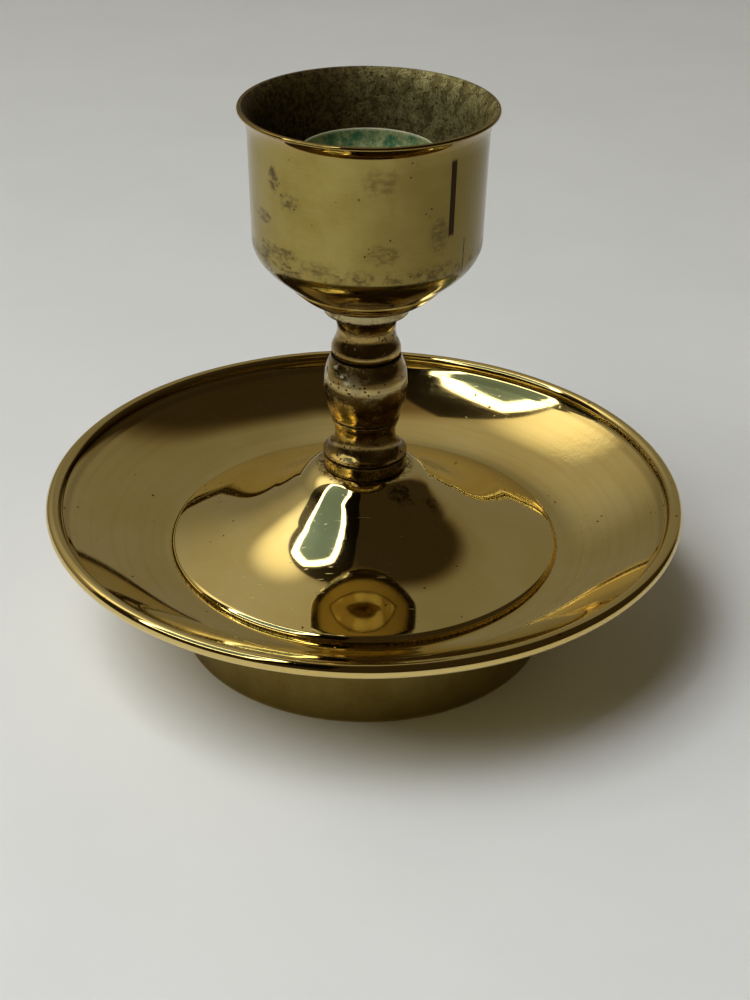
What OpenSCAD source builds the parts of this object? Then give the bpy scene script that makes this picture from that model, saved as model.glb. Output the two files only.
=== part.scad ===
// Turned brass candlestick: a drip pan on a foot ring, a bell-shaped dome, a turned stem
// and an outer cup with a flared candle socket inside, all clamped by one central tie rod.
// Origin at the centre of the base, +Z up, millimetres.

/* [Foot ring] */
// Outside diameter of the foot ring
foot_d = 94; // [80:1:96]
// Wall thickness of the foot ring
foot_wall = 1.8; // [1.2:0.1:3]

/* [Drip pan] */
// Outside diameter over the rolled rim
pan_d = 160; // [152:1:176]
// Height of the flat floor, measured to its upper face
floor_z = 24.3; // [20:0.1:26]
// Height of the centre of the rolled rim
rim_z = 37.8; // [36:0.1:42]
// Diameter of the rolled rim
rim_bead_d = 3.6; // [3:0.1:4.4]
// Thickness of the pan
pan_t = 1.4; // [1:0.1:2]
// Diameter of the hole in the pan, under the dome
pan_hole_d = 86; // [60:1:90]

/* [Dome] */
// Outside diameter of the dome where it stands on the pan
dome_d = 99; // [98:0.5:100]
// Height of the flat top of the dome
dome_top_z = 46.1; // [45:0.1:48]
// Diameter of the flat top of the dome
dome_flat_d = 22.8; // [21.5:0.1:23.5]
// Thickness of the dome
dome_t = 1.6; // [1.2:0.1:2]

/* [Stem] */
// Diameter of the collar that stands on the dome
base_collar_d = 20.8; // [18:0.1:21]
// Height of the collar that stands on the dome
base_collar_h = 3.6; // [2.5:0.1:5]
// Diameter at the foot of the lower spool
spool_foot_d = 21; // [19:0.1:22]
// Diameter at the waist of the lower spool
spool_waist_d = 15; // [12:0.1:16]
// Length of the lower spool
spool_len = 10.2; // [9:0.1:12]
// Largest diameter of the barrel-shaped knop
knop_d = 20.6; // [19:0.1:24]
// Diameter at both ends of the knop
knop_end_d = 17.4; // [16.5:0.1:18]
// Length of the knop
knop_len = 16.6; // [14:0.1:18]
// Diameter of the bead at the foot of the upper neck
neck_bead_d = 17.1; // [16:0.1:18]
// Diameter at the waist of the upper neck
neck_waist_d = 14.2; // [12:0.1:15.5]
// Length of the upper neck
neck_len = 11.7; // [11:0.1:14]

/* [Cup] */
// Diameter of the collar under the bowl seat
seat_collar_d = 20.8; // [19:0.1:21.5]
// Height of the collar under the bowl seat
seat_collar_h = 2.6; // [2:0.1:4]
// Diameter of the bowl seat at its upper edge
bowl_seat_d = 37; // [34:0.1:38]
// Height of the bowl seat at its upper edge
bowl_seat_h = 5.4; // [5:0.1:6.5]
// Outside diameter of the cup just below the flared lip
cup_d = 55.5; // [54:0.1:58]
// Outside diameter over the flared lip
cup_lip_d = 60; // [58:0.1:64]
// Height from the bowl seat's upper edge to the lip
cup_h = 42.2; // [36:0.1:50]
// Wall thickness of the cup
cup_t = 1.1; // [0.8:0.1:1.6]

/* [Candle socket] */
// Bore that takes the end of a taper candle
socket_bore_d = 22.6; // [21:0.1:23]
// Straight depth of the bore
socket_depth = 20.5; // [16:0.5:22]
// Outside diameter of the socket tube
socket_tube_d = 25.2; // [24.6:0.1:26]
// Outside diameter of the flared mouth
socket_mouth_d = 32.2; // [30:0.1:34]
// Height of the flared mouth
socket_flare_h = 6.7; // [5:0.1:8]

/* [Tie rod and nut] */
// Diameter of the tie rod
rod_d = 6.35; // [5:0.05:7]
// Width of the nut across its flats
nut_af = 11.1; // [10:0.1:13]
// Height of the nut
nut_h = 5.6; // [4:0.1:7]
// Diameter of the flat washer
washer_d = 19; // [16:0.5:20]
// Thickness of the flat washer
washer_t = 1.4; // [1:0.1:2]
// Thickness of the spring washer
spring_washer_t = 1.5; // [1:0.1:2]

/* [Hidden] */

$fn = 96;

// Radial gap between the tie rod and the pieces it passes through
rod_gap = 0.2;
bore_r = rod_d / 2 + rod_gap;

// Heights of the joints between the stacked pieces, from the dome up
collar_z = dome_top_z;
spool_z = collar_z + base_collar_h;
knop_z = spool_z + spool_len;
neck_z = knop_z + knop_len;
seat_collar_z = neck_z + neck_len;
bowl_seat_z = seat_collar_z + seat_collar_h;
cup_edge_z = bowl_seat_z + bowl_seat_h;
lip_z = cup_edge_z + cup_h;

// The cup's flat bottom lies this far below the bowl seat's upper edge
cup_sink = 2.8;
cup_floor_z = cup_edge_z - cup_sink + cup_t;

// Heights inside the candle socket
socket_floor_z = cup_floor_z + 6;
socket_flare_z = socket_floor_z + socket_depth;
socket_top_z = socket_flare_z + socket_flare_h;

// Heights of the fasteners under the dome
washer_z = dome_top_z - dome_t - washer_t;
spring_z = washer_z - spring_washer_t;
nut_z = spring_z - nut_h;
rod_bottom_z = nut_z - 2.2;
rod_top_z = socket_floor_z - 0.5;

// Segments in one curved stretch of an outline
steps = 10;

// A point at fraction t of a cubic curve, and the whole curve as a list of points
function cubic(a, b, c, d, t) =
    pow(1 - t, 3) * a + 3 * pow(1 - t, 2) * t * b + 3 * (1 - t) * t * t * c + pow(t, 3) * d;
function curve(a, b, c, d, n = steps) = [for (i = [0 : n]) cubic(a, b, c, d, i / n)];

// An arc from angle a0 to a1 about the point c
function arc(c, r, a0, a1, n = steps) =
    [for (i = [0 : n]) let (a = a0 + (a1 - a0) * i / n) c + r * [cos(a), sin(a)]];

// The direction square to an outline at point i, on its right-hand side
function side(p, i) =
    let (a = p[max(i - 1, 0)], b = p[min(i + 1, len(p) - 1)], d = b - a)
    [d[1], -d[0]] / norm(d);

// The same outline moved by t to its right-hand side, listed backwards
function moved(p, t) = [for (i = [len(p) - 1 : -1 : 0]) p[i] + t * side(p, i)];

module turned(outline) {
    rotate_extrude()
        polygon(outline);
}

// ---- Base ----

module foot_ring() {
    r = foot_d / 2;
    chamfer = 0.3;
    top = floor_z - pan_t;
    color("#5e5222")
        turned([
            [r - foot_wall, chamfer], [r - foot_wall + chamfer, 0], [r - chamfer, 0],
            [r, chamfer], [r, top], [r - foot_wall, top]
        ]);
}

// Upper face of the pan, from the hole out to the rolled rim
bead_r = rim_bead_d / 2;
bead_c = [pan_d / 2 - bead_r, rim_z];
bead_start = 205;
bead_end = -95;
wall_top = bead_c + [-3.5, -2.7];
rim_join = bead_c + bead_r * [cos(bead_start), sin(bead_start)];
pan_face = concat(
    [[pan_hole_d / 2, floor_z]],
    curve([dome_d / 2 + 1, floor_z], [dome_d / 2 + 8, floor_z + 0.2],
          wall_top - [8, 5.6], wall_top, 16),
    curve(wall_top + [0.3, 0.25], wall_top + [0.9, 0.7],
          rim_join - [0.5, 0.85], rim_join, 4)
);

module drip_pan() {
    under = moved(pan_face, pan_t);
    color("#8c7a35")
        turned(concat(
            pan_face,
            arc(bead_c, bead_r, bead_start, bead_end, 18),
            [for (i = [1 : len(under) - 1]) under[i]]
        ));
}

// Outer face of the dome: a bell that flares into a cone and flattens towards the pan
dome_r = dome_d / 2;
shoulder_r = 1.9;
bell_mid = [16.4, dome_top_z - 3.7];
cone_mid = [23, dome_top_z - 9.2];
skirt = [39.5, floor_z + 4.4];
dome_face = concat(
    [[bore_r, dome_top_z]],
    curve([dome_flat_d / 2, dome_top_z], [dome_flat_d / 2 + 1.8, dome_top_z - 0.65],
          bell_mid + [-1.6, 1.82], bell_mid),
    curve(bell_mid, bell_mid + [1.2, -1.37], cone_mid + [-1.9, 1.24], cone_mid, 6),
    curve(cone_mid, cone_mid + [4.5, -2.93], skirt + [-8, 2.48], skirt, 12),
    arc([dome_r - shoulder_r, floor_z], shoulder_r, 73, 0, 6)
);

module dome() {
    inner = [for (p = moved(dome_face, dome_t)) [p[0], max(p[1], floor_z)]];
    color("#a08c3e")
        turned(concat(dome_face, inner));
}

// ---- Stem ----

module base_collar() {
    r = base_collar_d / 2;
    edge = 0.35;
    color("#80631e")
        turned([
            [bore_r, collar_z], [r - edge, collar_z], [r, collar_z + edge],
            [r, spool_z - edge], [r - edge, spool_z], [bore_r, spool_z]
        ]);
}

module lower_spool() {
    foot = spool_foot_d / 2;
    waist = spool_waist_d / 2;
    top = knop_end_d / 2 - 0.2;
    waist_z = spool_z + 6.1;
    color("#8f7430")
        turned(concat(
            [[bore_r, spool_z], [foot - 0.2, spool_z]],
            curve([foot, spool_z + 0.6], [waist + 0.9, spool_z + 1.3],
                  [waist, spool_z + 3.2], [waist, waist_z]),
            curve([waist, waist_z], [waist, waist_z + 1.8], [top, knop_z - 1.4],
                  [top, knop_z - 0.4], 6),
            [[top - 0.3, knop_z], [bore_r, knop_z]]
        ));
}

module knop() {
    r = knop_d / 2;
    end = knop_end_d / 2;
    wide_z = knop_z + knop_len * 0.56;
    land = 1.1;
    color("#8a6a28")
        turned(concat(
            [[bore_r, knop_z], [end - 0.2, knop_z], [end, knop_z + 0.3]],
            curve([end, knop_z + land], [end + 0.9, knop_z + 3.4], [r, wide_z - 4.2], [r, wide_z]),
            curve([r, wide_z], [r, wide_z + 3.4], [end + 0.6, neck_z - 2.2], [end - 0.2, neck_z]),
            [[bore_r, neck_z]]
        ));
}

module upper_neck() {
    bead = neck_bead_d / 2;
    waist = neck_waist_d / 2;
    top = seat_collar_d / 2 - 0.5;
    waist_z = neck_z + 6.6;
    color("#7d6428")
        turned(concat(
            [[bore_r, neck_z], [bead - 0.5, neck_z], [bead - 0.5, neck_z + 0.3],
             [bead - 0.1, neck_z + 0.6]],
            curve([bead, neck_z + 1.4], [bead, neck_z + 3.2], [waist, neck_z + 4.2],
                  [waist, waist_z]),
            curve([waist, waist_z], [waist, waist_z + 2.8], [top - 1.9, seat_collar_z - 1.5],
                  [top, seat_collar_z - 0.2]),
            [[top, seat_collar_z], [bore_r, seat_collar_z]]
        ));
}

// ---- Cup ----

module seat_collar() {
    r = seat_collar_d / 2;
    edge = 0.3;
    color("#b8a86a")
        turned([
            [bore_r, seat_collar_z], [r - edge, seat_collar_z], [r, seat_collar_z + edge],
            [r, bowl_seat_z - edge], [r - edge, bowl_seat_z], [bore_r, bowl_seat_z]
        ]);
}

// Outer face of the cup's bottom, which the bowl seat carries
cup_bottom = concat(
    [[bore_r, cup_edge_z - cup_sink]],
    curve([12, cup_edge_z - cup_sink], [14.4, cup_edge_z - cup_sink],
          [bowl_seat_d / 2 - 1.4, cup_edge_z - 1.5], [bowl_seat_d / 2, cup_edge_z], 6)
);

module bowl_seat() {
    r = bowl_seat_d / 2;
    lower = seat_collar_d / 2 + 0.5;
    lip = 0.6;
    color("#7a5f1c")
        turned(concat(
            cup_bottom,
            curve([r, cup_edge_z - lip], [r - 2, cup_edge_z - lip - 2.2],
                  [r - 4.6, bowl_seat_z + 0.6], [lower, bowl_seat_z]),
            [[bore_r, bowl_seat_z]]
        ));
}

// Outer face of the cup, from its bottom up to the flared lip
wall_r = cup_d / 2;
lip_r = cup_lip_d / 2;
lip_round = 0.5;
cup_face = concat(
    cup_bottom,
    curve([bowl_seat_d / 2 + 0.3, cup_edge_z], [bowl_seat_d / 2 + 5, cup_edge_z + 3.6],
          [wall_r - 0.4, cup_edge_z + 7], [wall_r - 0.6, cup_edge_z + 11.3]),
    curve([wall_r, lip_z - 6.2], [wall_r + 0.1, lip_z - 3.6],
          [lip_r - 1.3, lip_z - 1.9], [lip_r - 0.2, lip_z - 0.75])
);

module outer_cup() {
    color("#a39650")
        turned(concat(
            cup_face,
            arc([lip_r - lip_round, lip_z - lip_round], lip_round, -20, 120, 5),
            moved(cup_face, -cup_t)
        ));
}

module candle_socket() {
    bore = socket_bore_d / 2;
    tube = socket_tube_d / 2;
    mouth = socket_mouth_d / 2;
    rim = 0.5;
    color("#5f8d6a")
        turned(concat(
            [[rod_d / 2, cup_floor_z], [tube, cup_floor_z]],
            curve([tube, socket_flare_z - 1.4], [mouth - 1.2, socket_flare_z - 0.9],
                  [mouth, socket_flare_z + 3], [mouth, socket_top_z - rim / 2]),
            [[mouth - rim / 2, socket_top_z], [mouth - rim, socket_top_z - rim / 2]],
            curve([mouth - rim - 0.1, socket_top_z - 1], [mouth - rim - 0.2, socket_flare_z + 3],
                  [mouth - 2.4, socket_flare_z + 0.2], [bore, socket_flare_z]),
            [[bore, socket_floor_z], [rod_d / 2, socket_floor_z]]
        ));
}

// ---- Fasteners ----

module tie_rod() {
    r = rod_d / 2;
    edge = 0.6;
    color("#8f8f8a")
        turned([
            [0, rod_bottom_z], [r - edge, rod_bottom_z], [r, rod_bottom_z + edge],
            [r, rod_top_z - edge], [r - edge, rod_top_z], [0, rod_top_z]
        ]);
}

module ring(outer_d, inner_d, height) {
    difference() {
        cylinder(d = outer_d, h = height);
        translate([0, 0, -1])
            cylinder(d = inner_d, h = height + 2);
    }
}

module flat_washer() {
    color("#9a9a94")
        translate([0, 0, washer_z])
            ring(washer_d, 2 * bore_r, washer_t);
}

// A split ring: the cut leaves the gap that lets it spring
module spring_washer() {
    cut = 1.2;
    color("#80807a")
        translate([0, 0, spring_z])
            difference() {
                ring(nut_af, 2 * bore_r, spring_washer_t);
                translate([0, -cut / 2, -1])
                    cube([nut_af, cut, spring_washer_t + 2]);
            }
}

module base_nut() {
    color("#a5a59e")
        translate([0, 0, nut_z])
            difference() {
                cylinder(d = nut_af / cos(30), h = nut_h, $fn = 6);
                translate([0, 0, -1])
                    cylinder(d = rod_d, h = nut_h + 2);
            }
}

foot_ring();
drip_pan();
dome();
base_collar();
lower_spool();
knop();
upper_neck();
seat_collar();
bowl_seat();
outer_cup();
candle_socket();
tie_rod();
flat_washer();
spring_washer();
base_nut();
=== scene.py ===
import math

import bmesh
import bpy
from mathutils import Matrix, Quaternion, Vector, noise


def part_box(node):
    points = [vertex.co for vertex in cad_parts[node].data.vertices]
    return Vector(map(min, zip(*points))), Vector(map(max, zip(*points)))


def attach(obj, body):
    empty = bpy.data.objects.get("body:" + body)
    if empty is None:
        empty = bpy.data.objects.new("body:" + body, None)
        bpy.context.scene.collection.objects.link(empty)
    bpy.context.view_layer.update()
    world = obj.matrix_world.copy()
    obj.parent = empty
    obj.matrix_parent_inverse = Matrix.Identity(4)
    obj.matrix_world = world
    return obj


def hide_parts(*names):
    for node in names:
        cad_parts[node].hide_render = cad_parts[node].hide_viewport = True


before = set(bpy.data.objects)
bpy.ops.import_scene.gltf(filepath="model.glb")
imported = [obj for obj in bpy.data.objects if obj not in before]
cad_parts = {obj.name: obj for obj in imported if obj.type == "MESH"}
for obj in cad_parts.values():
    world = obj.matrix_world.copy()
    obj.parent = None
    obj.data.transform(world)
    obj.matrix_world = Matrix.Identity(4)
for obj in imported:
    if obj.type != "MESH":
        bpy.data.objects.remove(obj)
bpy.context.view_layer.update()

# The brass candlestick as it looks: every turned piece is made again from its own outline,
# fine enough for a polished surface, and stands where its CAD node stands.
# Outlines and shader positions are in millimetres, as (distance from the axis, height).
MM = 0.001
BODY = "root"


# ---- Sizes that a node's box doesn't give, in millimetres ----

ROD_GAP = 0.2
PAN_WALL = 1.4
PAN_HOLE = 43.0
RIM_BEAD = 1.8
DOME_WALL = 1.6
DOME_SHOULDER = 1.9
DOME_FLAT = 11.4
SPOOL_WAIST = 7.5
KNOP_END = 8.7
NECK_BEAD = 8.55
NECK_WAIST = 7.1
CUP_WALL = 1.1
CUP_SINK = 2.8
CUP_SIDE = 27.75
LIP_ROUND = 0.5
CUP_FLOOR = 17.0
SOCKET_BORE = 11.3
SOCKET_TUBE = 12.6
SOCKET_FLARE = 6.7
SOCKET_FLOOR = 6.0
FOOT_WALL = 1.8


def size_of(node):
    """Greatest radius, lowest height and greatest height of a turned node, in millimetres."""
    low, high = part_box(node)
    return high.x / MM, low.z / MM, high.z / MM


# ---- How finely the pieces are divided, and how much the spun ones stray from round ----

SEGMENTS = 192
SPUN_SEGMENTS = 384
STEM_SEGMENTS = 128
UNEVENNESS = 0.10
UNEVEN_SCALE = 0.045


# ---- Outlines ----

def cubic(a, b, c, d, steps=24):
    """Points along a cubic curve from a to d that leaves towards b and arrives from c."""
    points = []
    for i in range(steps + 1):
        t = i / steps
        u = 1 - t
        weights = (u ** 3, 3 * u * u * t, 3 * u * t * t, t ** 3)
        r = sum(w * p[0] for w, p in zip(weights, (a, b, c, d)))
        z = sum(w * p[1] for w, p in zip(weights, (a, b, c, d)))
        points.append((r, z))
    return points


def arc(centre, radius, start, end, steps=12):
    """Points on an arc, with its angles in degrees."""
    points = []
    for i in range(steps + 1):
        angle = math.radians(start + (end - start) * i / steps)
        points.append((centre[0] + radius * math.cos(angle), centre[1] + radius * math.sin(angle)))
    return points


def shifted(outline, distance):
    """The same outline moved square to itself, to its right-hand side, and listed backwards."""
    points = []
    last = len(outline) - 1
    for i in range(last, -1, -1):
        before = Vector(outline[max(i - 1, 0)])
        after = Vector(outline[min(i + 1, last)])
        along = (after - before).normalized()
        points.append((outline[i][0] + distance * along.y, outline[i][1] - distance * along.x))
    return points


def rounded(outline, cut, sharpest=24, steps=4):
    """A closed outline with a small round at each corner that turns more than sharpest degrees."""
    points = []
    count = len(outline)
    for i in range(count):
        here = Vector(outline[i])
        back = Vector(outline[i - 1]) - here
        ahead = Vector(outline[(i + 1) % count]) - here
        turn = 180 - math.degrees(back.angle(ahead))
        if turn < sharpest:
            points.append(tuple(here))
            continue
        start = here + back.normalized() * min(cut, 0.4 * back.length)
        end = here + ahead.normalized() * min(cut, 0.4 * ahead.length)
        for k in range(steps + 1):
            t = k / steps
            points.append(tuple(start.lerp(here, t).lerp(here.lerp(end, t), t)))
    return points


def evened(outline, longest):
    """A closed outline whose long straight stretches are divided into short ones."""
    points = []
    count = len(outline)
    for i in range(count):
        here = Vector(outline[i])
        after = Vector(outline[(i + 1) % count])
        pieces = max(1, math.ceil((after - here).length / longest))
        points.extend(tuple(here.lerp(after, k / pieces)) for k in range(pieces))
    return points


# ---- Meshes ----

def turned(name, outline, segments=SEGMENTS, cut=0.12, longest=1.2, unevenness=0.0):
    """A ring made by turning a closed outline about the Z axis.

    Cut is the size of the rounds at its corners and longest its longest step along the
    outline, in millimetres.
    """
    outline = evened(rounded(outline, cut), longest)
    mesh = bmesh.new()
    rings = []
    for r, z in outline:
        ring = []
        for k in range(segments):
            angle = math.tau * k / segments
            point = Vector((r * math.cos(angle), r * math.sin(angle), z))
            if unevenness:
                point.z += unevenness * noise.noise(point * UNEVEN_SCALE)
            ring.append(mesh.verts.new(point * MM))
        rings.append(ring)
    for i, ring in enumerate(rings):
        other = rings[i - 1]
        for k in range(segments):
            mesh.faces.new((ring[k], ring[k - 1], other[k - 1], other[k]))
    return finished(name, mesh)


def finished(name, mesh):
    """A smooth-shaded object from a bmesh, with all its faces turned outwards."""
    bmesh.ops.remove_doubles(mesh, verts=mesh.verts, dist=1e-7)
    bmesh.ops.recalc_face_normals(mesh, faces=mesh.faces)
    data = bpy.data.meshes.new(name)
    mesh.to_mesh(data)
    mesh.free()
    data.shade_smooth()
    piece = bpy.data.objects.new(name, data)
    bpy.context.scene.collection.objects.link(piece)
    return piece


def stands_for(piece, node, slot, *materials):
    """Puts a piece in its CAD node's place, with its materials."""
    for material in materials:
        piece.data.materials.append(material)
    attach(piece, BODY)
    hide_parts(node)


def paint_inside(piece, index, is_inside):
    """Gives the faces for which is_inside(radius, height, outward) holds another material."""
    for face in piece.data.polygons:
        x, y, z = (value / MM for value in face.center)
        r = math.hypot(x, y)
        outward = (face.normal.x * x + face.normal.y * y) / r
        if is_inside(r, z, outward):
            face.material_index = index


# ---- Shader helpers ----

class Nodes:
    """Short names for the shader nodes of one material or of the surroundings."""

    def __init__(self, owner):
        owner.use_nodes = True
        self.tree = owner.node_tree
        self.tree.nodes.clear()

    def node(self, kind, /, settings=None, **inputs):
        made = self.tree.nodes.new("ShaderNode" + kind)
        for name, value in (settings or {}).items():
            setattr(made, name, value)
        for name, value in inputs.items():
            self.feed(made.inputs[name.replace("_", " ")], value)
        return made

    def feed(self, socket, value):
        if isinstance(value, bpy.types.NodeSocket):
            self.tree.links.new(value, socket)
        else:
            socket.default_value = value

    def math(self, operation, a, b=0.0, c=0.0):
        made = self.node("Math", {"operation": operation})
        for socket, value in zip(made.inputs, (a, b, c)):
            self.feed(socket, value)
        return made.outputs[0]

    def vector(self, operation, a, b=(0, 0, 0), scale=1.0):
        made = self.node("VectorMath", {"operation": operation})
        self.feed(made.inputs[0], a)
        if operation == "SCALE":
            made.inputs["Scale"].default_value = scale
        else:
            self.feed(made.inputs[1], b)
        return made.outputs[0]

    def ramp(self, value, low, high, first=0.0, last=1.0):
        """Goes smoothly from first to last while value goes from low to high."""
        made = self.node("MapRange", {"interpolation_type": "SMOOTHSTEP"}, Value=value)
        for name, number in (("From Min", low), ("From Max", high),
                             ("To Min", first), ("To Max", last)):
            self.feed(made.inputs[name], number)
        return made.outputs["Result"]

    def blend(self, amount, a, b):
        """The colour a, or b where amount is 1."""
        made = self.node("Mix", {"data_type": "RGBA"})
        self.feed(made.inputs["Factor"], amount)
        for name, value in (("A", a), ("B", b)):
            socket = next(s for s in made.inputs if s.name == name and s.type == "RGBA")
            self.feed(socket, value if isinstance(value, bpy.types.NodeSocket) else (*value, 1))
        return next(s for s in made.outputs if s.type == "RGBA")


class Shader(Nodes):
    """A material's nodes. Its places and heights are in millimetres, and its angles in radians."""

    def __init__(self, name):
        self.material = bpy.data.materials.new(name)
        super().__init__(self.material)
        place = self.node("TexCoord").outputs["Object"]
        self.place = self.vector("SCALE", place, scale=1 / MM)
        parts = self.node("SeparateXYZ", Vector=self.place)
        self.x = parts.outputs["X"]
        self.y = parts.outputs["Y"]
        self.z = parts.outputs["Z"]
        squares = self.math("ADD", self.math("MULTIPLY", self.x, self.x),
                            self.math("MULTIPLY", self.y, self.y))
        self.r = self.math("SQRT", squares)
        self.angle = self.math("ARCTAN2", self.y, self.x)

    def band(self, value, centre, width, soft):
        """1 within width of the centre, fading to 0 over soft more."""
        away = self.math("ABSOLUTE", self.math("SUBTRACT", value, centre))
        return self.ramp(away, width, width + soft, 1.0, 0.0)

    def both(self, a, b):
        return self.math("MULTIPLY", a, b)

    def either(self, a, b):
        return self.math("MAXIMUM", a, b)

    def noise(self, place, scale, detail=3.0, rough=0.5, warp=0.0):
        made = self.node("TexNoise", Vector=place, Scale=scale, Detail=detail,
                         Roughness=rough, Distortion=warp)
        return made.outputs["Fac"]

    def cells(self, place, scale, spread=1.0):
        made = self.node("TexVoronoi", Vector=place, Scale=scale, Randomness=spread)
        return made.outputs["Distance"]

    def unrolled(self, radius, along):
        """Distance round the piece at one radius, and the way along its outline."""
        made = self.node("CombineXYZ", X=self.math("MULTIPLY", self.angle, radius), Y=along)
        return made.outputs[0]

    def lathe_lines(self, along, fine, long=1.5, detail=2.0):
        """Streaks that run round the piece: fine is how many to a millimetre."""
        made = self.node("CombineXYZ",
                         X=self.math("MULTIPLY", self.math("DIVIDE", self.x, self.r), long),
                         Y=self.math("MULTIPLY", self.math("DIVIDE", self.y, self.r), long),
                         Z=self.math("MULTIPLY", along, fine))
        return self.noise(made.outputs[0], 1.0, detail, 0.6)

    def scratches(self, place, turn, scale, thin=0.04):
        """Separate straight scratches in one direction, as a mask."""
        stretched = self.node("Mapping", Vector=place)
        stretched.inputs["Rotation"].default_value = (0, 0, math.radians(turn))
        stretched.inputs["Scale"].default_value = (0.03, 1.0, 1.0)
        lines = self.noise(stretched.outputs[0], scale, 1.0, 0.4)
        return self.ramp(lines, 0.79 - thin, 0.79)

    def spot(self, centre, size, ragged=0.5):
        """A ragged blot round a point, as a mask. Its size is its three half widths."""
        away = self.vector("SUBTRACT", self.place, centre)
        away = self.vector("DIVIDE", away, size)
        length = self.node("VectorMath", {"operation": "LENGTH"})
        self.feed(length.inputs[0], away)
        edge = self.math("MULTIPLY_ADD", self.noise(self.place, 0.55, 4.0, 0.65), ragged * 2,
                         -ragged)
        return self.ramp(self.math("ADD", length.outputs["Value"], edge), 0.55, 1.05, 1.0, 0.0)

    def relief(self, *layers):
        """Bumps from pairs of height (0 to 1) and depth in millimetres."""
        normal = None
        for height, depth in layers:
            made = self.node("Bump", Height=height, Distance=depth * MM, Strength=1.0)
            if normal is not None:
                self.feed(made.inputs["Normal"], normal)
            normal = made.outputs["Normal"]
        return normal

    def metal(self, colour, roughness, normal, metallic=1.0):
        surface = self.node("BsdfPrincipled")
        self.feed(surface.inputs["Base Color"], colour)
        self.feed(surface.inputs["Roughness"], roughness)
        self.feed(surface.inputs["Metallic"], metallic)
        if normal is not None:
            self.feed(surface.inputs["Normal"], normal)
        output = self.node("OutputMaterial")
        self.tree.links.new(surface.outputs[0], output.inputs["Surface"])
        return self.material


# ---- Metals ----

GOLD = (0.78, 0.625, 0.250)
PALE_GOLD = (0.82, 0.69, 0.32)
DEEP_GOLD = (0.66, 0.46, 0.130)
OLIVE = (0.42, 0.35, 0.13)
BROWN = (0.17, 0.10, 0.025)
BLACK_GRIME = (0.035, 0.022, 0.008)
VERDIGRIS = (0.055, 0.165, 0.072)
PALE_OXIDE = (0.52, 0.50, 0.33)
STEEL = (0.52, 0.51, 0.49)
RUST = (0.20, 0.10, 0.05)


def angle_point(degrees, radius, height):
    """A point on a turned piece, in millimetres. 0 degrees is to the right, 270 in front."""
    turn = math.radians(degrees)
    return (radius * math.cos(turn), radius * math.sin(turn), height)


def pan_brass():
    """Polished sheet brass with fine rubbing marks and grime where the dome sits on it."""
    rim, under, top = size_of("drip_pan")
    dome_r = size_of("dome")[0]
    s = Shader("pan_brass")
    along = s.math("ADD", s.r, s.z)
    fine = s.lathe_lines(along, 5.0, 2.5)
    broad = s.lathe_lines(along, 0.5, 1.2)
    cloud = s.noise(s.place, 0.035, 4.0, 0.6)
    grain = s.noise(s.place, 2.2, 3.0, 0.6)
    straight = s.either(s.scratches(s.place, 25, 2.0), s.scratches(s.place, -50, 1.6))
    peel = s.noise(s.place, 0.28, 2.0, 0.5)
    peel_part = s.spot(angle_point(12, 66, top - 8), (22, 34, 16), 0.4)
    ring = s.both(s.band(s.r, 56.7, 0.05, 0.35), s.ramp(s.noise(s.place, 0.09, 3.0), 0.42, 0.6))
    pits = s.both(s.ramp(s.cells(s.place, 0.35), 0.10, 0.16, 1.0, 0.0),
                  s.ramp(s.noise(s.place, 0.11, 2.0), 0.60, 0.66))
    groove = s.ramp(s.math("ADD", s.r, s.math("MULTIPLY", grain, 0.9)), dome_r + 0.5,
                    dome_r + 0.9, 1.0, 0.0)
    corner = s.both(s.band(s.r, rim - 4.9, 0.2, 0.9), s.ramp(s.z, under + 9, under + 11))
    inner_seam = s.both(s.band(s.r, rim - 3.5, 0.1, 0.35), s.ramp(s.z, under + 9, under + 11))
    colour = s.blend(s.ramp(cloud, 0.35, 0.7), GOLD, PALE_GOLD)
    colour = s.blend(s.math("MULTIPLY", s.ramp(broad, 0.4, 0.75), 0.25), colour, DEEP_GOLD)
    bead_side = s.ramp(s.r, rim - 1.6, rim - 0.3)
    colour = s.blend(s.math("MULTIPLY", bead_side, 0.5), colour, DEEP_GOLD)
    colour = s.blend(s.math("MULTIPLY", corner, 0.28), colour, BROWN)
    colour = s.blend(s.math("MULTIPLY", inner_seam, 0.5), colour, BROWN)
    colour = s.blend(s.both(groove, s.ramp(grain, 0.46, 0.66)), colour, BROWN)
    colour = s.blend(pits, colour, BROWN)
    rough = s.math("MULTIPLY_ADD", s.ramp(cloud, 0.3, 0.7), 0.03, 0.035)
    rough = s.math("MULTIPLY_ADD", s.ramp(fine, 0.45, 0.7), 0.03, rough)
    rough = s.math("MULTIPLY_ADD", s.either(groove, straight), 0.15, rough)
    rough = s.math("MULTIPLY_ADD", ring, 0.25, rough)
    normal = s.relief((s.both(peel, peel_part), 0.030), (fine, 0.0004), (straight, 0.0012),
                      (ring, -0.008), (pits, -0.02))
    return s.metal(colour, rough, normal)


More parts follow.
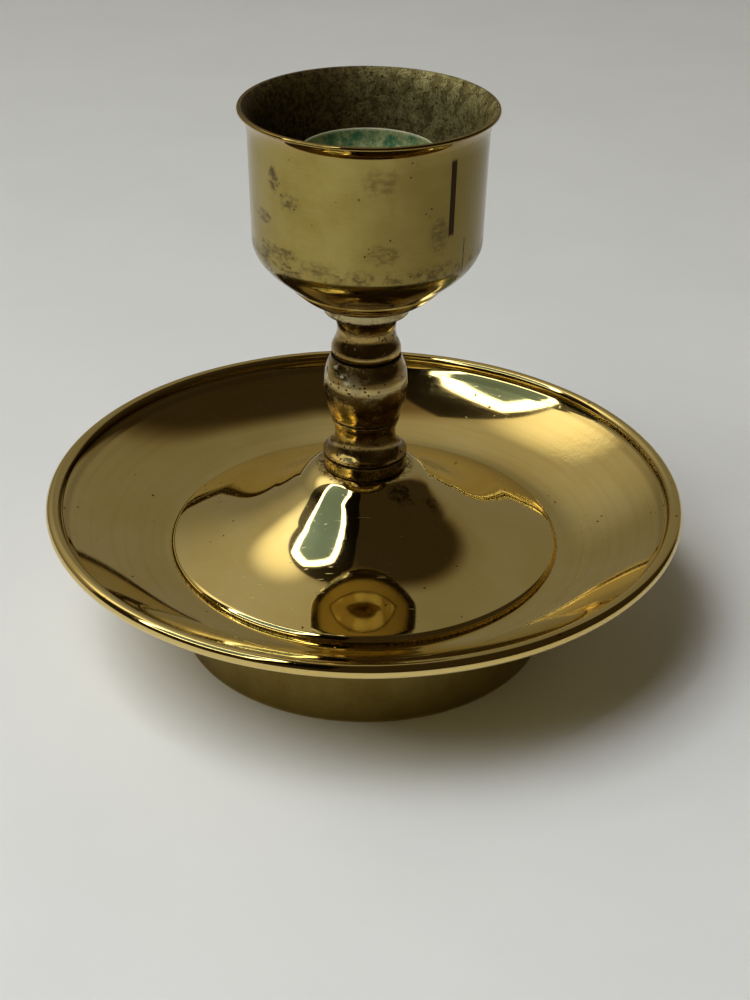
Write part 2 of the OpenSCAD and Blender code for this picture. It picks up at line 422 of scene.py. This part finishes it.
def dome_brass():
    """Mirror-polished brass with hairlines, a few dark stains and nicks."""
    outer = size_of("dome")[0]
    high = size_of("dome")[2]
    s = Shader("dome_brass")
    along = s.math("SUBTRACT", s.r, s.z)
    fine = s.lathe_lines(along, 4.0, 3.0)
    cloud = s.noise(s.place, 0.05, 4.0, 0.6)
    grain = s.noise(s.place, 1.4, 4.0, 0.65)
    straight = s.either(s.scratches(s.place, 65, 1.8), s.scratches(s.place, -20, 2.4))
    straight = s.either(straight, s.scratches(s.place, 10, 1.5))
    stain_area = s.either(s.spot(angle_point(305, 14.5, high - 3.5), (4.2, 3.0, 4.0), 0.9),
                          s.spot(angle_point(330, 18.5, high - 8.0), (3.2, 2.6, 3.2), 0.9))
    stain_edge = s.band(s.noise(s.place, 0.42, 3.0, 0.6, 0.6), 0.5, 0.02, 0.05)
    stains = s.both(stain_area, stain_edge)
    hem = s.ramp(s.math("ADD", s.r, s.math("MULTIPLY", grain, 0.5)), outer + 0.05, outer + 0.3)
    top = s.ramp(s.math("MULTIPLY_ADD", grain, 1.2, s.z), high + 0.1, high + 0.7)
    pits = s.both(s.ramp(s.cells(s.place, 0.4), 0.09, 0.15, 1.0, 0.0),
                  s.ramp(s.noise(s.place, 0.13, 2.0), 0.60, 0.66))
    colour = s.blend(s.ramp(cloud, 0.35, 0.7), GOLD, PALE_GOLD)
    colour = s.blend(s.math("MULTIPLY", stains, 0.85), colour, BLACK_GRIME)
    colour = s.blend(s.math("MULTIPLY", stain_area, 0.30), colour, BROWN)
    colour = s.blend(s.both(hem, s.ramp(grain, 0.42, 0.62)), colour, BROWN)
    colour = s.blend(s.both(top, s.ramp(grain, 0.40, 0.62)), colour, BROWN)
    colour = s.blend(pits, colour, BROWN)
    rough = s.math("MULTIPLY_ADD", s.ramp(cloud, 0.3, 0.7), 0.025, 0.030)
    rough = s.math("MULTIPLY_ADD", s.ramp(fine, 0.45, 0.7), 0.02, rough)
    rough = s.math("MULTIPLY_ADD", s.either(stains, straight), 0.25, rough)
    normal = s.relief((fine, 0.0003), (straight, 0.0010), (stains, -0.006), (pits, -0.02))
    return s.metal(colour, rough, normal)


def foot_brass():
    """Dull, unpolished brass with an even fine grain."""
    low = size_of("foot_ring")[1]
    s = Shader("foot_brass")
    grain = s.noise(s.place, 3.5, 5.0, 0.75)
    cloud = s.noise(s.place, 0.10, 5.0, 0.65)
    lines = s.lathe_lines(s.z, 6.0, 6.0)
    edge = s.ramp(s.math("ADD", s.z, s.math("MULTIPLY", grain, 0.8)),
                  low + 0.3, low + 1.4, 1.0, 0.0)
    colour = s.blend(s.ramp(cloud, 0.3, 0.7), (0.30, 0.225, 0.060), (0.24, 0.165, 0.035))
    colour = s.blend(s.ramp(grain, 0.45, 0.8, 0.0, 0.5), colour, BROWN)
    colour = s.blend(s.math("MULTIPLY", edge, 0.5), colour, PALE_GOLD)
    rough = s.math("MULTIPLY_ADD", grain, 0.18, 0.40)
    normal = s.relief((grain, 0.03), (lines, 0.004))
    return s.metal(colour, rough, normal)


def stem_brass():
    """Turned brass with tool lines, pitting, brown tarnish and grime in the joints."""
    low = size_of("base_collar")[1]
    high = size_of("seat_collar")[2]
    s = Shader("stem_brass")
    lines = s.lathe_lines(s.z, 3.2, 1.2, 3.0)
    broad = s.lathe_lines(s.z, 0.55, 0.8)
    cloud = s.noise(s.place, 0.14, 5.0, 0.65)
    grain = s.noise(s.place, 1.6, 4.0, 0.7)
    worn = s.ramp(s.noise(s.place, 0.21, 5.0, 0.65), 0.50, 0.62)
    pits = s.both(s.ramp(s.cells(s.place, 0.95), 0.20, 0.32, 1.0, 0.0),
                  s.ramp(s.noise(s.place, 0.20, 3.0), 0.46, 0.54))
    joints = None
    for node in ("base_collar", "lower_spool", "knop", "upper_neck", "seat_collar"):
        line = s.band(s.math("MULTIPLY_ADD", s.math("SUBTRACT", grain, 0.5), 1.0, s.z),
                      size_of(node)[1], 0.16, 0.35)
        joints = line if joints is None else s.either(joints, line)
    knop_low, knop_high = size_of("knop")[1:]
    knop_face = s.band(s.z, knop_low + 0.68 * (knop_high - knop_low), 3.2, 1.4)
    oxide = s.both(s.spot(angle_point(215, 9.5, knop_high - 5.0), (6.5, 6.0, 5.0), 0.8), worn)
    turned_ring = s.band(s.z, knop_low + 0.62 * (knop_high - knop_low), 0.9, 0.3)
    colour = s.blend(s.ramp(cloud, 0.35, 0.65), (0.30, 0.20, 0.060), (0.54, 0.39, 0.140))
    colour = s.blend(s.math("MULTIPLY", s.ramp(broad, 0.42, 0.62), 0.75), colour, BROWN)
    colour = s.blend(s.math("MULTIPLY", s.both(worn, knop_face), 0.25), colour, PALE_OXIDE)
    colour = s.blend(oxide, colour, PALE_OXIDE)
    colour = s.blend(s.math("MULTIPLY", turned_ring, 0.30), colour, PALE_GOLD)
    colour = s.blend(s.math("MULTIPLY", s.ramp(lines, 0.60, 0.75), 0.6), colour, BROWN)
    colour = s.blend(pits, colour, BLACK_GRIME)
    colour = s.blend(joints, colour, BLACK_GRIME)
    rough = s.math("MULTIPLY_ADD", s.ramp(cloud, 0.3, 0.7), 0.10, 0.12)
    rough = s.math("MULTIPLY_ADD", worn, 0.12, rough)
    rough = s.math("MULTIPLY_ADD", s.either(joints, pits), 0.30, rough)
    normal = s.relief((lines, 0.010), (grain, 0.006), (pits, -0.04), (joints, -0.05))
    return s.metal(colour, rough, normal, s.math("SUBTRACT", 1.0, s.both(oxide, 0.55)))


def collar_brass():
    """The pale, scrubbed collar under the bowl, with dark specks and a ragged lower line."""
    low = size_of("seat_collar")[1]
    s = Shader("seat_collar_brass")
    grain = s.noise(s.place, 1.3, 5.0, 0.7)
    lines = s.lathe_lines(s.z, 4.0, 1.0)
    line = s.ramp(s.math("MULTIPLY_ADD", grain, 1.6, s.z), low + 0.9, low + 1.35, 1.0, 0.0)
    specks = s.ramp(s.noise(s.place, 2.4, 3.0, 0.6), 0.64, 0.70)
    patch = s.noise(s.place, 0.35, 5.0, 0.7)
    colour = s.blend(s.ramp(grain, 0.3, 0.7), (0.60, 0.49, 0.24), (0.44, 0.38, 0.20))
    colour = s.blend(s.math("MULTIPLY", s.ramp(patch, 0.46, 0.62), 0.75), colour, BROWN)
    colour = s.blend(s.ramp(lines, 0.58, 0.70, 0.0, 0.6), colour, BROWN)
    colour = s.blend(s.either(line, specks), colour, BLACK_GRIME)
    rough = s.math("MULTIPLY_ADD", grain, 0.20, 0.24)
    normal = s.relief((lines, 0.006), (grain, 0.01), (line, -0.04))
    return s.metal(colour, rough, normal)


def bowl_brass():
    """Deep, glossy gold under the cup, with soft waves left by the polishing."""
    s = Shader("bowl_brass")
    along = s.math("ADD", s.r, s.z)
    fine = s.lathe_lines(along, 3.0, 1.5)
    wave = s.noise(s.place, 0.16, 2.0, 0.5, 0.4)
    grain = s.noise(s.place, 1.1, 4.0, 0.65)
    colour = s.blend(s.ramp(wave, 0.35, 0.65), (0.24, 0.145, 0.030), (0.44, 0.31, 0.085))
    colour = s.blend(s.ramp(grain, 0.62, 0.74, 0.0, 0.7), colour, BROWN)
    rough = s.math("MULTIPLY_ADD", s.ramp(fine, 0.4, 0.7), 0.04, 0.05)
    normal = s.relief((wave, 0.10), (fine, 0.002))
    return s.metal(colour, rough, normal)


# Tarnish blots on the cup: degrees round, distance under the lip, half width, half height, strength
BLOTS = (
    (231, 15.5, 3.2, 2.2, 0.8),
    (212, 21.3, 3.6, 1.9, 0.9),
    (213, 29.0, 2.6, 2.8, 0.8),
    (226, 28.3, 5.5, 1.5, 0.8),
    (248, 30.0, 6.0, 2.4, 0.6),
    (278, 25.5, 4.5, 3.0, 0.55),
    (306, 22.5, 3.4, 5.2, 0.7),
    (277, 8.5, 5.0, 3.4, 0.5),
)

# Where the dark streak and the crack stand round the cup
STREAK_TURN = math.radians(313.3 - 360)
CRACK_TURN = math.radians(323.4 - 360)


def cup_outside():
    """Satin greenish gold, rubbed and smudged with brown tarnish, with painted shade on its right
    side and darker on its underside.
    """
    high = size_of("outer_cup")[2]
    edge = size_of("bowl_seat")[2]
    s = Shader("cup_brass")
    wrap = s.unrolled(CUP_SIDE, s.z)
    lines = s.lathe_lines(s.z, 3.0, 3.0, 3.0)
    cloud = s.noise(s.place, 0.060, 5.0, 0.6)
    grain = s.noise(s.place, 0.9, 5.0, 0.7)
    straight = s.either(s.scratches(wrap, 5, 1.8), s.scratches(wrap, 62, 2.2))
    smear = s.lathe_lines(s.z, 0.95, 14.0, 6.0)
    smudges = s.spot(angle_point(221, CUP_SIDE, high - 11.5), (1.9, 1.9, 3.9), 0.6)
    for degrees, down, width, tall, strength in BLOTS:
        blot = s.spot(angle_point(degrees, CUP_SIDE, high - down), (width, width, tall), 0.9)
        smudges = s.either(smudges, s.math("MULTIPLY", blot, strength))
    low_band = s.band(s.z, edge + 9.5, 1.5, 3.0)
    low_band = s.both(low_band, s.ramp(s.noise(s.place, 0.25, 5.0, 0.7), 0.42, 0.56))
    tarnish = s.either(s.both(smudges, s.ramp(smear, 0.34, 0.62)),
                       s.math("MULTIPLY", s.both(low_band, s.ramp(smear, 0.36, 0.60)), 0.9))
    specks = s.both(s.ramp(s.cells(s.place, 0.5), 0.08, 0.14, 1.0, 0.0),
                    s.ramp(s.noise(s.place, 0.12, 2.0), 0.52, 0.60))
    streak = s.both(s.band(s.angle, STREAK_TURN, 0.026, 0.008),
                    s.band(s.math("MULTIPLY_ADD", grain, 2.0, s.z), high - 13.5, 8.3, 1.2))
    crack_turn = s.math("MULTIPLY_ADD", s.noise(s.place, 0.6, 4.0), 0.05, s.angle)
    crack = s.both(s.band(crack_turn, CRACK_TURN + 0.025, 0.003, 0.007),
                   s.band(s.z, high - 29.6, 4.0, 0.8))
    lip = s.ramp(s.z, high - 3.6, high - 2.4)
    colour = s.blend(s.ramp(cloud, 0.35, 0.65), (0.365, 0.285, 0.086), (0.30, 0.222, 0.056))
    colour = s.blend(s.ramp(lines, 0.45, 0.75, 0.0, 0.2), colour, OLIVE)
    # Painted shade: the outside of the cup darkens towards its right side.
    painted_shade = s.ramp(s.math("MULTIPLY_ADD", cloud, 14.0, s.x), -2.0, 30.0, 0.0, 0.68)
    colour = s.blend(painted_shade, colour, (0.17, 0.125, 0.035))
    # Darker on the underside of the cup, above the bowl.
    colour = s.blend(s.ramp(s.z, edge + 4.0, edge + 8.0, 0.75, 0.0), colour, (0.22, 0.125, 0.022))
    colour = s.blend(s.math("MULTIPLY", tarnish, 0.88), colour, (0.085, 0.062, 0.026))
    colour = s.blend(s.math("MULTIPLY", lip, 0.5), colour, (0.40, 0.26, 0.075))
    colour = s.blend(s.either(specks, s.either(streak, crack)), colour, (0.030, 0.015, 0.005))
    rough = s.math("MULTIPLY_ADD", s.ramp(cloud, 0.3, 0.7), 0.06, 0.09)
    rough = s.math("MULTIPLY_ADD", s.ramp(lines, 0.4, 0.7), 0.04, rough)
    rough = s.math("MULTIPLY_ADD", s.either(tarnish, straight), 0.15, rough)
    rough = s.math("MULTIPLY_ADD", lip, -0.05, rough)
    normal = s.relief((lines, 0.0010), (straight, 0.0012), (grain, 0.0025), (tarnish, -0.004),
                      (specks, -0.02))
    return s.metal(colour, rough, normal)


def cup_inside():
    """Brown-black tarnish over olive brass, with painted light that makes it brighter and speckled
    towards the right.
    """
    high = size_of("outer_cup")[2]
    s = Shader("cup_inside_brass")
    cloud = s.noise(s.place, 0.09, 6.0, 0.7)
    grain = s.noise(s.place, 0.8, 6.0, 0.75)
    fleck = s.noise(s.place, 2.2, 4.0, 0.7)
    # Painted light: the inside is lighter towards its right side and more so towards the lip, with
    # pale flecks there.
    right = s.ramp(s.math("MULTIPLY_ADD", cloud, 26.0, s.x), 2.0, 26.0)
    depth = s.ramp(s.math("MULTIPLY_ADD", grain, 8.0, s.z), high - 22.0, high - 2.0)
    bright = s.both(right, s.ramp(depth, 0.0, 1.0, 0.45, 1.0))
    specks = s.ramp(s.noise(s.place, 1.2, 5.0, 0.75), 0.555, 0.60)
    blotch = s.ramp(s.noise(s.place, 0.34, 6.0, 0.72, 0.4), 0.42, 0.58)
    colour = s.blend(s.ramp(grain, 0.40, 0.60), (0.060, 0.036, 0.012), (0.19, 0.135, 0.045))
    colour = s.blend(s.math("MULTIPLY", bright, s.ramp(blotch, 0.0, 1.0, 0.35, 1.0)), colour,
                     (0.34, 0.29, 0.105))
    colour = s.blend(s.both(bright, s.both(blotch, s.ramp(fleck, 0.46, 0.58))), colour,
                     (0.56, 0.49, 0.22))
    colour = s.blend(s.math("MULTIPLY", specks, 0.95), colour, (0.030, 0.024, 0.010))
    rough = s.math("MULTIPLY_ADD", grain, 0.25, 0.42)
    normal = s.relief((grain, 0.05), (fleck, 0.02))
    return s.metal(colour, rough, normal, 0.75)


def socket_green():
    """Green verdigris over pale brass, dull and crusty."""
    high = size_of("candle_socket")[2]
    s = Shader("socket_brass")
    grain = s.noise(s.place, 0.7, 6.0, 0.7)
    fleck = s.noise(s.place, 2.5, 4.0, 0.7)
    cloud = s.noise(s.place, 0.16, 4.0, 0.6)
    rim = s.ramp(s.z, high - 0.9, high - 0.2)
    green = s.ramp(s.math("ADD", cloud, s.math("MULTIPLY", grain, 0.5)), 0.70, 0.92)
    colour = s.blend(s.ramp(grain, 0.35, 0.65), (0.40, 0.43, 0.20), (0.25, 0.29, 0.12))
    colour = s.blend(green, colour, VERDIGRIS)
    colour = s.blend(s.ramp(fleck, 0.56, 0.66), colour, (0.02, 0.085, 0.05))
    colour = s.blend(s.math("MULTIPLY", rim, 0.7), colour, (0.55, 0.52, 0.34))
    rough = s.math("MULTIPLY_ADD", grain, 0.25, 0.45)
    normal = s.relief((grain, 0.08), (fleck, 0.03))
    return s.metal(colour, rough, normal, 0.45)


def fastener_steel():
    """Plain zinc-grey steel with a little rust."""
    s = Shader("fastener_steel")
    grain = s.noise(s.place, 1.2, 5.0, 0.7)
    rust = s.ramp(s.noise(s.place, 0.35, 5.0, 0.7), 0.56, 0.68)
    colour = s.blend(s.ramp(grain, 0.3, 0.7), STEEL, (0.36, 0.36, 0.35))
    colour = s.blend(s.math("MULTIPLY", rust, 0.8), colour, RUST)
    rough = s.math("MULTIPLY_ADD", s.either(rust, grain), 0.3, 0.28)
    normal = s.relief((grain, 0.01), (rust, 0.02))
    return s.metal(colour, rough, normal)


# ---- Pieces ----

BORE = size_of("tie_rod")[0] + ROD_GAP


def pan_outline():
    rim, under, top = size_of("drip_pan")
    floor = under + PAN_WALL
    bead = (rim - RIM_BEAD, top - RIM_BEAD)
    wall = (bead[0] - 3.5, bead[1] - 2.7)
    join = arc(bead, RIM_BEAD, 205, 205, 1)[0]
    dome_r = size_of("dome")[0]
    face = [(PAN_HOLE, floor)]
    face += cubic((dome_r + 1, floor), (dome_r + 8, floor + 0.2),
                  (wall[0] - 8, wall[1] - 5.6), wall, 48)
    face += cubic((wall[0] + 0.3, wall[1] + 0.25), (wall[0] + 0.9, wall[1] + 0.7),
                  (join[0] - 0.5, join[1] - 0.85), join, 10)
    return face + arc(bead, RIM_BEAD, 205, -95, 36)[1:] + shifted(face, PAN_WALL)[1:]


def dome_outline():
    outer, low, high = size_of("dome")
    bell = (16.4, high - 3.7)
    cone = (23, high - 9.2)
    skirt = (39.5, low + 4.4)
    face = [(BORE, high)]
    face += cubic((DOME_FLAT, high), (DOME_FLAT + 1.8, high - 0.65),
                  (bell[0] - 1.6, bell[1] + 1.82), bell, 20)
    face += cubic(bell, (bell[0] + 1.2, bell[1] - 1.37),
                  (cone[0] - 1.9, cone[1] + 1.24), cone, 16)[1:]
    face += cubic(cone, (cone[0] + 4.5, cone[1] - 2.93),
                  (skirt[0] - 8, skirt[1] + 2.48), skirt, 40)[1:]
    face += arc((outer - DOME_SHOULDER, low), DOME_SHOULDER, 73, 0, 14)
    return face + [(r, max(z, low)) for r, z in shifted(face, DOME_WALL)]


def foot_outline():
    outer, low, high = size_of("foot_ring")
    inner = outer - FOOT_WALL
    return [(inner, low), (outer, low), (outer, high), (inner, high)]


def collar_outline(node):
    outer, low, high = size_of(node)
    return [(BORE, low), (outer, low), (outer, high), (BORE, high)]


def spool_outline():
    foot, low, high = size_of("lower_spool")
    top = KNOP_END - 0.2
    waist = low + 6.1
    outline = [(BORE, low), (foot - 0.2, low)]
    outline += cubic((foot, low + 0.6), (SPOOL_WAIST + 0.9, low + 1.3),
                     (SPOOL_WAIST, low + 3.2), (SPOOL_WAIST, waist))
    outline += cubic((SPOOL_WAIST, waist), (SPOOL_WAIST, waist + 1.8), (top, high - 1.4),
                     (top, high - 0.4))[1:]
    return outline + [(top - 0.3, high), (BORE, high)]


def knop_outline():
    wide, low, high = size_of("knop")
    middle = low + (high - low) * 0.56
    outline = [(BORE, low), (KNOP_END - 0.2, low), (KNOP_END, low + 0.3)]
    outline += cubic((KNOP_END, low + 1.1), (KNOP_END + 0.9, low + 3.4), (wide, middle - 4.2),
                     (wide, middle))
    outline += cubic((wide, middle), (wide, middle + 3.4), (KNOP_END + 0.6, high - 2.2),
                     (KNOP_END - 0.2, high))[1:]
    return outline + [(BORE, high)]


def neck_outline():
    top, low, high = size_of("upper_neck")
    waist = low + 6.6
    outline = [(BORE, low), (NECK_BEAD - 0.5, low), (NECK_BEAD - 0.5, low + 0.3),
               (NECK_BEAD - 0.1, low + 0.6)]
    outline += cubic((NECK_BEAD, low + 1.4), (NECK_BEAD, low + 3.2), (NECK_WAIST, low + 4.2),
                     (NECK_WAIST, waist))
    outline += cubic((NECK_WAIST, waist), (NECK_WAIST, waist + 2.8), (top - 1.9, high - 1.5),
                     (top, high - 0.2))[1:]
    return outline + [(top, high), (BORE, high)]


def cup_bottom():
    """The face where the bowl seat carries the cup."""
    seat, _, edge = size_of("bowl_seat")
    flat = edge - CUP_SINK
    return [(BORE, flat)] + cubic((12, flat), (14.4, flat), (seat - 1.4, edge - 1.5),
                                  (seat, edge), 12)


def bowl_outline():
    outer, low, edge = size_of("bowl_seat")
    foot = size_of("seat_collar")[0] + 0.5
    lip = edge - 0.6
    face = cubic((outer, lip), (outer - 2, lip - 2.2), (outer - 4.6, low + 0.6), (foot, low))
    return cup_bottom() + face + [(BORE, low)]


def cup_outline():
    lip, _, high = size_of("outer_cup")
    seat, _, edge = size_of("bowl_seat")
    face = cup_bottom()
    face += cubic((seat + 0.3, edge), (seat + 5, edge + 3.6), (CUP_SIDE - 0.4, edge + 7),
                  (CUP_SIDE - 0.6, edge + 11.3))
    face += cubic((CUP_SIDE, high - 6.2), (CUP_SIDE + 0.1, high - 3.6), (lip - 1.3, high - 1.9),
                  (lip - 0.2, high - 0.75), 16)
    edge_round = arc((lip - LIP_ROUND, high - LIP_ROUND), LIP_ROUND, -20, 120, 10)
    return face + edge_round + shifted(face, -CUP_WALL)


def socket_outline():
    mouth, low, high = size_of("candle_socket")
    rod = size_of("tie_rod")[0]
    flare = high - SOCKET_FLARE
    rim = 0.5
    outline = [(rod, low), (SOCKET_TUBE, low)]
    outline += cubic((SOCKET_TUBE, flare - 1.4), (mouth - 1.2, flare - 0.9),
                     (mouth, flare + 3), (mouth, high - rim / 2))
    outline += [(mouth - rim / 2, high), (mouth - rim, high - rim / 2)]
    outline += cubic((mouth - rim - 0.1, high - 1), (mouth - rim - 0.2, flare + 3),
                     (mouth - 2.4, flare + 0.2), (SOCKET_BORE, flare))
    floor = low + SOCKET_FLOOR
    return outline + [(SOCKET_BORE, floor), (rod, floor)]


def build_base():
    foot = turned("foot_ring_turned", foot_outline(), cut=0.3)
    stands_for(foot, "foot_ring", "foot_brass", foot_brass())
    pan = turned("drip_pan_spun", pan_outline(), SPUN_SEGMENTS, unevenness=UNEVENNESS)
    stands_for(pan, "drip_pan", "pan_brass", pan_brass())
    dome = turned("dome_spun", dome_outline(), SPUN_SEGMENTS, unevenness=UNEVENNESS)
    stands_for(dome, "dome", "dome_brass", dome_brass())


def build_stem():
    metal = stem_brass()
    outlines = (("base_collar", collar_outline("base_collar")), ("lower_spool", spool_outline()),
                ("knop", knop_outline()), ("upper_neck", neck_outline()))
    for node, outline in outlines:
        piece = turned(node + "_turned", outline, STEM_SEGMENTS, cut=0.22, longest=0.8)
        stands_for(piece, node, "stem_brass", metal)
    collar = turned("seat_collar_turned", collar_outline("seat_collar"), STEM_SEGMENTS, cut=0.3)
    stands_for(collar, "seat_collar", "stem_brass", collar_brass())


def build_cup():
    bowl = turned("bowl_seat_turned", bowl_outline())
    stands_for(bowl, "bowl_seat", "seat_brass", bowl_brass())
    cup = turned("outer_cup_spun", cup_outline())
    stands_for(cup, "outer_cup", "cup_brass", cup_outside(), cup_inside())
    floor = size_of("outer_cup")[1] + 0.6
    paint_inside(cup, 1, lambda r, z, outward: outward < -0.05 or (r < CUP_FLOOR and z > floor))
    socket = turned("candle_socket_turned", socket_outline())
    stands_for(socket, "candle_socket", "socket_brass", socket_green())


def build_fasteners():
    steel = fastener_steel()
    for node in ("tie_rod", "flat_washer", "spring_washer", "base_nut"):
        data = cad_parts[node].data
        data.materials.clear()
        data.materials.append(steel)


# ---- Floor, light and camera ----

# Place in metres, angles in radians, and focal length in millimetres on a 36 mm tall sensor
CAMERA_PLACE = (0.00270, -0.39607, 0.26577)
CAMERA_PITCH = 0.52757
CAMERA_ROLL = 0.01482
CAMERA_LENS = 64.76
SENSOR = 36.0

# The key light's place and size in metres, and how bright its face looks
KEY_PLACE = (-0.46, -0.40, 1.05)
KEY_SIZE = (0.7, 0.7)
KEY_COLOUR = (0.97, 1, 1.03)
KEY_RADIANCE = 6.3

FLOOR_HALF = 6.0


def build_floor():
    """A pale table top, much wider than the view."""
    s = Shader("floor")
    speck = s.noise(s.place, 0.02, 3.0)
    colour = s.blend(s.ramp(speck, 0.3, 0.7), (0.80, 0.80, 0.785), (0.78, 0.78, 0.77))
    surface = s.metal(colour, 0.5, None, 0.0)
    mesh = bmesh.new()
    bmesh.ops.create_grid(mesh, x_segments=1, y_segments=1, size=FLOOR_HALF)
    floor = finished("floor", mesh)
    floor.data.materials.append(surface)


def area_light(name, place, target, size, colour, radiance, glossy=True):
    """A soft box light that faces its target. Radiance is how bright its face looks."""
    light = bpy.data.lights.new(name, "AREA")
    light.shape = "RECTANGLE"
    light.size, light.size_y = size
    light.energy = radiance * size[0] * size[1] * math.pi
    light.color = colour
    holder = bpy.data.objects.new(name, light)
    holder.location = place
    facing = Vector(target) - Vector(place)
    holder.rotation_euler = facing.to_track_quat("-Z", "Y").to_euler()
    holder.visible_glossy = glossy
    bpy.context.scene.collection.objects.link(holder)


def build_lights():
    """One soft key above the left shoulder; the rest of the light comes from the world."""
    area_light("key", KEY_PLACE, (0, 0, 0), KEY_SIZE, KEY_COLOUR, KEY_RADIANCE, False)


def heading(azimuth, elevation):
    """Unit direction; azimuth 0 points away from the camera and -90 points left."""
    a, e = math.radians(azimuth), math.radians(elevation)
    return Vector((math.sin(a) * math.cos(e), math.cos(a) * math.cos(e), math.sin(e)))


class World(Nodes):
    """Studio surroundings written as levels of light over the directions."""

    def __init__(self):
        self.world = bpy.data.worlds.new("studio")
        super().__init__(self.world)
        self.direction = self.node("TexCoord").outputs["Generated"]

    def facing(self, towards):
        """Cosine of the angle between a direction and one point of the studio."""
        dot = self.node("VectorMath", {"operation": "DOT_PRODUCT"})
        self.feed(dot.inputs[0], self.direction)
        self.feed(dot.inputs[1], towards)
        return dot.outputs["Value"]

    def lobe(self, azimuth, elevation, wide, narrow, last):
        """Level that goes from 0 to last between two angles, in degrees, around one heading."""
        value = self.facing(heading(azimuth, elevation))
        return self.ramp(value, math.cos(math.radians(wide)), math.cos(math.radians(narrow)),
                         0.0, last)

    def depth_inside(self, corners):
        """How far inside a panel a direction is: 0 at an edge, 1 past that edge's border.

        A corner is its azimuth, its elevation and the width of the border after it, in
        degrees. The corners go round with the panel on their left.
        """
        depth = None
        for start, end in zip(corners, corners[1:] + corners[:1]):
            edge = heading(*end[:2]).cross(heading(*start[:2])).normalized()
            value = self.facing(edge / math.sin(math.radians(start[2])))
            depth = value if depth is None else self.math("MINIMUM", depth, value)
        return depth


# Panels of the studio, as corners of azimuth, elevation and border width in degrees
LIT_WALL = ((100, -30, 5), (64, 58, 5), (52, 76, 5), (20, 82, 5), (-40, 81, 5),
            (-110, 60, 5), (-130, -30, 5), (-35, -80, 5))
BOX_SURROUND = ((-80, 15, 1), (-73, 30, 1), (-66, 49, 1), (-58, 61, 1), (-40, 73, 1),
                (-100, 85, 1), (-170, 70, 1), (-170, 30, 1))
SOFT_BOX = ((-97, 29, 3.8), (-64.5, 55, 3.8), (-61.5, 64, 3.2), (-88, 76, 3.2),
            (-122, 74.5, 4.2), (-138, 66, 4.4), (-140, 40, 4.0))

# Levels and tints of the studio's parts
DIM_LEVEL = 0.030
WALL_LEVEL = 0.170
WIDE_GLOW_LEVEL = 0.20
GLOW_LEVEL = 1.05
BORDER_LEVEL = 4.5
FACE_LEVEL = 0.26
BACKDROP_LEVEL = 0.55
DIM_TINT = (1.0, 0.70, 0.36)
WALL_TINT = (1.0, 0.89, 0.66)
BORDER_TINT = (1.0, 1.0, 0.97)
FACE_TINT = (0.66, 0.92, 1.0)
BACKDROP_TINT = (1.0, 0.99, 0.97)


def build_world():
    """A pale wall behind, a soft box with a bright border on the left, a dim room in front."""
    w = World()
    side = w.ramp(w.facing(heading(-45, 0)), -0.50, 0.15)
    lit = w.ramp(w.depth_inside(LIT_WALL), -1.5, 0.5)
    pale = w.math("MULTIPLY", side, lit)
    wall = w.math("ADD", w.math("MULTIPLY", pale, WALL_LEVEL), DIM_LEVEL)
    wide_glow = w.lobe(-52, 50, 42, 8, WIDE_GLOW_LEVEL)
    glow = w.lobe(-66, 49, 21, 2, GLOW_LEVEL)
    room = w.math("ADD", wall, w.math("ADD", wide_glow, glow))
    surround = w.ramp(w.depth_inside(BOX_SURROUND), -0.3, 0.6, 1.0, 0.10)
    room = w.math("MULTIPLY", room, surround)
    depth = w.depth_inside(SOFT_BOX)
    box = w.ramp(depth, 0.0, 0.15)
    face = w.ramp(depth, 0.90, 1.15)
    border = w.math("SUBTRACT", box, face)
    level = w.math("ADD", room, w.math("MULTIPLY", border, BORDER_LEVEL))
    level = w.math("ADD", level, w.math("MULTIPLY", face, FACE_LEVEL))
    seen = w.node("LightPath").outputs["Is Camera Ray"]
    level = w.math("MAXIMUM", level, w.math("MULTIPLY", seen, BACKDROP_LEVEL))
    tint = w.blend(w.math("MAXIMUM", pale, glow), DIM_TINT, WALL_TINT)
    tint = w.blend(box, tint, BORDER_TINT)
    tint = w.blend(face, tint, FACE_TINT)
    tint = w.blend(seen, tint, BACKDROP_TINT)
    background = w.node("Background", Color=tint, Strength=level)
    w.node("OutputWorld", Surface=background.outputs[0])
    bpy.context.scene.world = w.world


def build_camera():
    """The photograph's viewing angle: from the front, looking 30 degrees down."""
    data = bpy.data.cameras.new("camera")
    data.sensor_fit = "VERTICAL"
    data.sensor_height = SENSOR
    data.lens = CAMERA_LENS
    data.clip_start = 0.01
    camera = bpy.data.objects.new("camera", data)
    camera.location = CAMERA_PLACE
    forward = Vector((0, math.cos(CAMERA_PITCH), -math.sin(CAMERA_PITCH)))
    camera.rotation_mode = "QUATERNION"
    level = forward.to_track_quat("-Z", "Y")
    camera.rotation_quaternion = Quaternion(forward, -CAMERA_ROLL) @ level
    bpy.context.scene.collection.objects.link(camera)
    bpy.context.scene.camera = camera


build_base()
build_stem()
build_cup()
build_fasteners()
build_floor()
build_lights()
build_world()
build_camera()
bpy.context.scene.view_settings.view_transform = "Standard"
bpy.context.scene.view_settings.look = "None"
